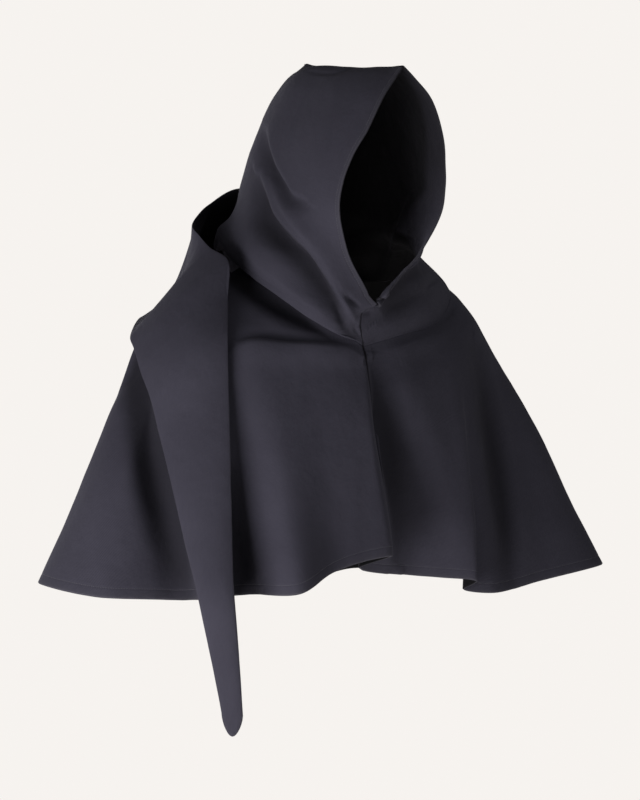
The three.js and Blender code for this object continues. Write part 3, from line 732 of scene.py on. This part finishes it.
def cape_half(first, last):
    """Outer and inner skin of the columns between two seams, and what cloth_shell needs to know."""
    picked = np.arange(first, last + 1) % ring.shape[1]
    outer = ring[:, picked].copy()
    normals = ring_normals[:, picked]
    from_edge = to_hem[:, picked]
    across = lengths_along(outer, 1)
    from_seam = np.minimum(across, across[:, -1:] - across)
    groove = SEAM_GROOVE["depth"] * np.exp(-((from_seam / SEAM_GROOVE["width"]) ** 2))
    groove += STITCH_GROOVE["depth"] * np.exp(-(((from_edge - CAPE_STITCHES) / STITCH_GROOVE["width"]) ** 2))
    outer -= normals * groove[..., None]
    hem = np.clip((CAPE_HEM - from_edge) / CAPE_HEM_FADE, 0, 1)
    inner = outer - normals * (CLOTH + (HEM_CLOTH - CLOTH) * hem)[..., None]
    # The whole inner side of the cape gets full painted shade
    return outer, inner, -1, np.ones(outer.shape[:2]), from_edge, from_seam, cape_painted_crease_shade[:, picked]


front = (len(HEM_RIGHT) - 1) * CAPE_STEPS
cape_sheets = {"right": cape_half(0, front), "left": cape_half(front, ring.shape[1])}
for hand, area in (("right", 0.347), ("left", 0.365)):
    piece = cloth_shell(f"cape_{hand}_cloth", *cape_sheets[hand])
    wear_cloth(piece, f"cape_{hand}")


# Liripipe
# A long flat tube of the same twill, two layers thick, sewn to the hood's back seam. It is open and
# full where it leaves the hood, goes round the neck, over the right shoulder and down to a point.

# Its upper and lower edge at each section, and how far its middle stands out between them
TAIL = [
    {"upper": (-3, 139, -153), "lower": (-3, 157, -336), "arch": 0},
    {"upper": (-60, 129, -153), "lower": (-70, 171, -342), "arch": 5},
    {"upper": (-110, 113, -178), "lower": (-138, 156, -340), "arch": 8},
    {"upper": (-147, 84, -202), "lower": (-196, 118, -334), "arch": -18},
    {"upper": (-164, 56, -215), "lower": (-230, 80, -336), "arch": -26},
    {"upper": (-169, 28, -227), "lower": (-256, 47, -351), "arch": -18},
    {"upper": (-167, 0, -245), "lower": (-270, 26, -366), "arch": 2},
    {"upper": (-159, -38, -265), "lower": (-274, 6, -380), "arch": 12},
    {"upper": (-173, -63, -317), "lower": (-277, -20, -410), "arch": 17},
    {"upper": (-190, -95, -369), "lower": (-273, -40, -443), "arch": 15},
    {"upper": (-195, -107, -433), "lower": (-269, -55, -484), "arch": 9},
    {"upper": (-202, -124, -508), "lower": (-265, -78, -540), "arch": 8},
    {"upper": (-211, -146, -595), "lower": (-262, -106, -604), "arch": 7},
    {"upper": (-223, -175, -692), "lower": (-258, -145, -691), "arch": 4},
    {"upper": (-218, -178, -766), "lower": (-246, -153, -757), "arch": 2},
    {"upper": (-213, -179, -835), "lower": (-234, -161, -831), "arch": 1},
]
TAIL_TIP = (-223, -169, -861)
# Towards its tip the tail rounds off: share of the way to the tip, and of the width there
TAIL_END = [(0.2, 0.95), (0.4, 0.85), (0.58, 0.72), (0.74, 0.56), (0.87, 0.39), (0.96, 0.2)]
# Thickness of the tube, which is full at its root and flat from a section on
TAIL_FULLNESS = {"root": 14, "flat": 4.6, "flat_from": 5}
TAIL_SQUARENESS = 3
TAIL_STEPS = 12
TAIL_ACROSS = 30
# Up to this section the tail stands clear of the cape, and its inner face gets painted shade, lighter
# towards the rim.
TAIL_STANDS = 7
TAIL_RIM = {"width": 26, "shade": 0.45}
TAIL_WEAR = 0.6


def liripipe_rows():
    """Closed rings round the tube, from its root to just above its tip."""
    knots = np.linspace(0, len(TAIL) - 1, (len(TAIL) - 1) * TAIL_STEPS + 1)
    upper = through([row["upper"] for row in TAIL], knots)
    lower = through([row["lower"] for row in TAIL], knots)
    arch = np.interp(knots, np.arange(len(TAIL)), [row["arch"] for row in TAIL])
    flatness = np.clip(knots / TAIL_FULLNESS["flat_from"], 0, 1)
    fullness = TAIL_FULLNESS["root"] + (TAIL_FULLNESS["flat"] - TAIL_FULLNESS["root"]) * flatness
    heading = np.gradient((upper + lower) / 2, axis=0)
    outward = np.cross(lower - upper, heading)
    outward /= np.linalg.norm(outward, axis=-1, keepdims=True)
    share = (1 - np.cos(np.linspace(0, np.pi, TAIL_ACROSS))) / 2
    swell = np.sqrt(1 - np.abs(2 * share - 1) ** TAIL_SQUARENESS)
    over = np.concatenate([share, share[-2:0:-1]])
    bulge = np.concatenate([swell, -swell[-2:0:-1]])
    base = upper[:, None] + (lower - upper)[:, None] * over[None, :, None]
    rise = arch[:, None] * 4 * over * (1 - over) + fullness[:, None] / 2 * bulge
    return base + outward[:, None] * rise[..., None], knots


rings, tail_knots = liripipe_rows()
last = rings[-1]
middle = last.mean(0)
tapered = [
    middle * (1 - way) + np.array(TAIL_TIP) * way + (last - middle) * width for way, width in TAIL_END
]
rings = np.concatenate([rings, tapered])
tail_knots = np.concatenate([tail_knots, np.full(len(tapered), tail_knots[-1])])
ripple(rings, 1, np.ones(rings.shape[:2]), True, RIPPLE_SEED["liripipe"])
count = rings.shape[1]
vertices = np.concatenate([rings.reshape(-1, 3), [TAIL_TIP], [rings[0].mean(0)]])
number = np.arange(rings.shape[0] * count).reshape(rings.shape[:2])
beside = np.roll(number, -1, axis=1)
quads = np.stack([number[:-1], beside[:-1], beside[1:], number[1:]], -1).reshape(-1, 4).tolist()
tip, root = len(vertices) - 2, len(vertices) - 1
quads += [(number[-1, c], beside[-1, c], tip) for c in range(count)]
quads += [(beside[0, c], number[0, c], root) for c in range(count)]
mesh = smooth_mesh("liripipe_cloth", vertices, quads)
around = lengths_along(np.concatenate([rings, rings[:, :1]], axis=1), 1)[:, :-1]
down = lengths_along(rings, 0)
weave = np.stack([around, down, 0 * down], -1).reshape(-1, 3) * MM
add_attribute(mesh, "weave", "FLOAT_VECTOR", np.concatenate([weave, np.zeros((2, 3))]))
# Painted shade on the inner face where the tail stands clear of the cape, lighter towards its rim
is_under = np.arange(count) >= TAIL_ACROSS
widths = np.linalg.norm(rings[:, TAIL_ACROSS - 1] - rings[:, 0], axis=-1)
flat_share = np.minimum(np.arange(count), count - np.arange(count)) / (TAIL_ACROSS - 1)
from_rim = widths[:, None] * flat_share
rim_shade = TAIL_RIM["shade"] + (1 - TAIL_RIM["shade"]) * np.clip(from_rim / TAIL_RIM["width"], 0, 1)
shade = np.clip(TAIL_STANDS - tail_knots, 0, 1)[:, None] * is_under * rim_shade
add_attribute(mesh, "painted_inside_shade", "FLOAT", np.concatenate([shade.ravel(), [0, 1]]))
to_edge = np.minimum(flat_share, 1 - flat_share) * widths[:, None]
edge = TAIL_WEAR * np.exp(-to_edge / WEAR_REACH)
add_attribute(mesh, "edge", "FLOAT", np.concatenate([edge.ravel(), [1, 0]]))
for mark in ("seam", "painted_crease_shade"):
    add_attribute(mesh, mark, "FLOAT", np.zeros(len(vertices)))
liripipe = add_object("liripipe_cloth", mesh)
wear_cloth(liripipe, "liripipe")


# Topstitching
# Rows of lockstitch in grey cotton thread hold the turned edges: one row beside the face edge of
# each half of the hood, and one row above the hem of each half of the cape.
STITCH = {"length": 2.6, "gap": 0.7, "thickness": 0.55, "seed": 4}
# The rows beside the face edge start this many rows of the cloth's grid below the crown seam
STITCH_START = 3
THREAD_DARK = (0.05, 0.048, 0.06, 1)
THREAD_LIGHT = (0.13, 0.125, 0.145, 1)


def thread_material():
    """Matte cotton thread, twisted, a little lighter than the twill."""
    material = bpy.data.materials.new("thread")
    material.use_nodes = True
    tree = material.node_tree
    surface = tree.nodes["Principled BSDF"]
    surface.inputs["Sheen Weight"].default_value = 0.3
    place = add_node(tree, "ShaderNodeTexCoord")
    twist = add_node(tree, "ShaderNodeTexNoise", {"Scale": 900.0, "Detail": 2.0})
    colour = add_node(tree, "ShaderNodeMix", {6: THREAD_DARK, 7: THREAD_LIGHT}, data_type="RGBA")
    roughness = add_node(tree, "ShaderNodeMapRange", {"To Min": 0.6, "To Max": 0.8})
    tree.links.new(place.outputs["Object"], twist.inputs["Vector"])
    tree.links.new(twist.outputs["Fac"], colour.inputs["Factor"])
    tree.links.new(colour.outputs[2], surface.inputs["Base Color"])
    tree.links.new(twist.outputs["Fac"], roughness.inputs["Value"])
    tree.links.new(roughness.outputs["Result"], surface.inputs["Roughness"])
    return material


def stitch_tree():
    """Lays stitches end to end along a curve, each a short thread with rounded ends."""
    tree = bpy.data.node_groups.new("stitches", "GeometryNodeTree")
    socket = tree.interface.new_socket
    socket("Geometry", in_out="INPUT", socket_type="NodeSocketGeometry")
    for name in ("Stitch length", "Gap", "Thickness"):
        socket(name, in_out="INPUT", socket_type="NodeSocketFloat")
    socket("Seed", in_out="INPUT", socket_type="NodeSocketInt")
    socket("Thread", in_out="INPUT", socket_type="NodeSocketMaterial")
    socket("Geometry", in_out="OUTPUT", socket_type="NodeSocketGeometry")
    link = tree.links.new
    sizes = add_node(tree, "NodeGroupInput")
    pitch = add_node(tree, "ShaderNodeMath", operation="ADD")
    link(sizes.outputs["Stitch length"], pitch.inputs[0])
    link(sizes.outputs["Gap"], pitch.inputs[1])
    spots = add_node(tree, "GeometryNodeCurveToPoints", mode="LENGTH")
    link(sizes.outputs["Geometry"], spots.inputs["Curve"])
    link(pitch.outputs[0], spots.inputs["Length"])
    thread = add_node(tree, "GeometryNodeMeshUVSphere", {"Segments": 6, "Rings": 4, "Radius": 0.5})
    scale = add_node(tree, "ShaderNodeCombineXYZ")
    link(sizes.outputs["Thickness"], scale.inputs["X"])
    link(sizes.outputs["Thickness"], scale.inputs["Y"])
    link(sizes.outputs["Stitch length"], scale.inputs["Z"])
    drawn_out = add_node(tree, "GeometryNodeTransform")
    link(thread.outputs["Mesh"], drawn_out.inputs["Geometry"])
    link(scale.outputs["Vector"], drawn_out.inputs["Scale"])
    aim = add_node(tree, "FunctionNodeAlignRotationToVector", axis="Z")
    link(spots.outputs["Tangent"], aim.inputs["Vector"])
    uneven = add_node(tree, "FunctionNodeRandomValue", {2: 0.86, 3: 1.0}, data_type="FLOAT")
    link(sizes.outputs["Seed"], uneven.inputs["Seed"])
    sewn = add_node(tree, "GeometryNodeInstanceOnPoints")
    link(spots.outputs["Points"], sewn.inputs["Points"])
    link(drawn_out.outputs["Geometry"], sewn.inputs["Instance"])
    link(aim.outputs["Rotation"], sewn.inputs["Rotation"])
    link(uneven.outputs[1], sewn.inputs["Scale"])
    real = add_node(tree, "GeometryNodeRealizeInstances")
    link(sewn.outputs["Instances"], real.inputs["Geometry"])
    smooth = add_node(tree, "GeometryNodeSetShadeSmooth")
    link(real.outputs["Geometry"], smooth.inputs["Geometry"])
    coloured = add_node(tree, "GeometryNodeSetMaterial")
    link(smooth.outputs["Geometry"], coloured.inputs["Geometry"])
    link(sizes.outputs["Thread"], coloured.inputs["Material"])
    output = add_node(tree, "NodeGroupOutput")
    link(coloured.outputs["Geometry"], output.inputs["Geometry"])
    return tree


thread = thread_material()
stitches = stitch_tree()


def sew(name, path):
    """A row of stitches along a path, as a plain mesh."""
    curve = bpy.data.curves.new(name + "_line", "CURVE")
    curve.dimensions = "3D"
    spline = curve.splines.new("POLY")
    spline.points.add(len(path) - 1)
    for point, place in zip(spline.points, path * MM):
        point.co = (*place, 1)
    line = add_object(name + "_line", curve)
    modifier = line.modifiers.new("stitches", "NODES")
    modifier.node_group = stitches
    values = {
        "Stitch length": STITCH["length"] * MM, "Gap": STITCH["gap"] * MM,
        "Thickness": STITCH["thickness"] * MM, "Seed": STITCH["seed"], "Thread": thread,
    }
    for item in stitches.interface.items_tree:
        if item.in_out == "INPUT" and item.name in values:
            modifier[item.identifier] = values[item.name]
    evaluated = line.evaluated_get(bpy.context.evaluated_depsgraph_get())
    mesh = bpy.data.meshes.new_from_object(evaluated)
    bpy.data.objects.remove(line)
    mesh.name = name
    row = add_object(name, mesh)
    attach(row, "root")
    return row


def line_at(grid, distances, wanted, axis):
    """The path over a grid of points on which distances has the wanted value."""
    if axis == 0:
        grid, distances = grid.transpose(1, 0, 2), distances.T
    path = []
    for points, along in zip(grid, distances):
        order = np.argsort(along)
        path.append([np.interp(wanted, along[order], points[order, k]) for k in range(3)])
    return np.array(path)


for hand, sheet in (("right", hood_right_sheet), ("left", hood_left_sheet)):
    outer, _, _, _, from_edge, _, _ = sheet
    sewn = slice(STITCH_START, THROAT_ROW)
    sew(f"face_stitches_{hand}", line_at(outer[sewn], from_edge[sewn], FACE_HEM, 1))
for hand, sheet in cape_sheets.items():
    outer, _, _, _, from_edge, _, _ = sheet
    sew(f"hem_stitches_{hand}", line_at(outer, from_edge, CAPE_STITCHES, 0))


# Studio
# A round pale floor below, which fades into an even pale backdrop. A soft light stands low in front,
# on the wearer's right, with a weak fill on the left and one light behind, so that the folds read.
FLOOR = {"height": -1.26, "radius": 1.6, "rings": 24, "segments": 96, "fades": (0.35, 0.97)}
FLOOR_DARK = (0.80, 0.765, 0.73, 1)
FLOOR_LIGHT = (0.88, 0.86, 0.84, 1)
PALE = (0.925, 0.895, 0.865, 1)
AMBIENT = 0.12
LIGHTS_AIM = (0, 0, -0.45)


def round_floor():
    """A flat disc of rings."""
    vertices = [(0, 0, FLOOR["height"])]
    faces = []
    segments = FLOOR["segments"]
    for ring_number in range(1, FLOOR["rings"] + 1):
        reach = FLOOR["radius"] * ring_number / FLOOR["rings"]
        for i in range(segments):
            angle = 2 * math.pi * i / segments
            vertices.append((reach * math.cos(angle), reach * math.sin(angle), FLOOR["height"]))
        start = 1 + (ring_number - 1) * segments
        for i in range(segments):
            j = (i + 1) % segments
            if ring_number == 1:
                faces.append((0, start + i, start + j))
            else:
                faces.append((start - segments + i, start + i, start + j, start - segments + j))
    mesh = bpy.data.meshes.new("floor")
    mesh.from_pydata(vertices, [], faces)
    return add_object("floor", mesh)


def floor_material():
    """Pale matte floor with a faint cloudiness, which fades out towards its rim."""
    material = bpy.data.materials.new("pale_floor")
    material.use_nodes = True
    tree = material.node_tree
    link = tree.links.new
    surface = tree.nodes["Principled BSDF"]
    surface.inputs["Roughness"].default_value = 0.9
    surface.inputs["Emission Color"].default_value = (0.9, 0.87, 0.84, 1)
    surface.inputs["Emission Strength"].default_value = 0.6
    place = add_node(tree, "ShaderNodeTexCoord")
    clouds = add_node(tree, "ShaderNodeTexNoise", {"Scale": 1.6, "Detail": 5.0})
    colour = add_node(tree, "ShaderNodeMix", {6: FLOOR_DARK, 7: FLOOR_LIGHT}, data_type="RGBA")
    link(place.outputs["Object"], clouds.inputs["Vector"])
    link(clouds.outputs["Fac"], colour.inputs["Factor"])
    link(colour.outputs[2], surface.inputs["Base Color"])
    flat = add_node(tree, "ShaderNodeVectorMath", {1: (1, 1, 0)}, operation="MULTIPLY")
    reach = add_node(tree, "ShaderNodeVectorMath", operation="LENGTH")
    link(place.outputs["Object"], flat.inputs[0])
    link(flat.outputs["Vector"], reach.inputs[0])
    start, end = (share * FLOOR["radius"] for share in FLOOR["fades"])
    fade = add_node(tree, "ShaderNodeMapRange", {
        "From Min": start, "From Max": end, "To Min": 1.0, "To Max": 0.0,
    }, interpolation_type="SMOOTHSTEP")
    link(reach.outputs["Value"], fade.inputs["Value"])
    link(fade.outputs["Result"], surface.inputs["Alpha"])
    return material


floor = round_floor()
floor.data.materials.append(floor_material())


def area_light(name, place, target, size, watts, colour):
    """A soft square light that points at a target."""
    data = bpy.data.lights.new(name, "AREA")
    data.size = size
    data.energy = watts
    data.color = colour
    light = add_object(name, data)
    light.location = place
    light.visible_camera = False
    light.rotation_euler = (Vector(target) - Vector(place)).to_track_quat("-Z", "Y").to_euler()


def from_camera(across, ahead, up):
    """A place measured across and ahead as the camera sees it."""
    right = Vector((math.cos(VIEW_TURN), math.sin(VIEW_TURN), 0))
    away = Vector((-math.sin(VIEW_TURN), math.cos(VIEW_TURN), 0))
    return right * across + away * ahead + Vector((0, 0, up))


area_light("key", from_camera(-1.0, -1.25, -1.1), (0, 0, -0.5), 1.0, 25, (1, 0.985, 1))
area_light("back", from_camera(-1.1, 2.7, 0.1), LIGHTS_AIM, 1.8, 22, (1, 1, 1))
area_light("fill", from_camera(2.2, -1.8, 0.45), LIGHTS_AIM, 1.2, 9, (1, 1, 1))


def studio_world():
    """A pale backdrop for the eye, and a weaker even light on the object."""
    world = bpy.data.worlds.new("studio")
    world.use_nodes = True
    tree = world.node_tree
    tree.nodes.clear()
    seen = add_node(tree, "ShaderNodeBackground", {"Color": PALE, "Strength": 1.0})
    lit = add_node(tree, "ShaderNodeBackground", {"Color": (1, 0.99, 0.98, 1), "Strength": AMBIENT})
    rays = add_node(tree, "ShaderNodeLightPath")
    mix = add_node(tree, "ShaderNodeMixShader")
    output = add_node(tree, "ShaderNodeOutputWorld")
    tree.links.new(rays.outputs["Is Camera Ray"], mix.inputs["Fac"])
    tree.links.new(lit.outputs["Background"], mix.inputs[1])
    tree.links.new(seen.outputs["Background"], mix.inputs[2])
    tree.links.new(mix.outputs["Shader"], output.inputs["Surface"])
    return world


bpy.context.scene.world = studio_world()
bpy.context.scene.view_settings.view_transform = "Standard"
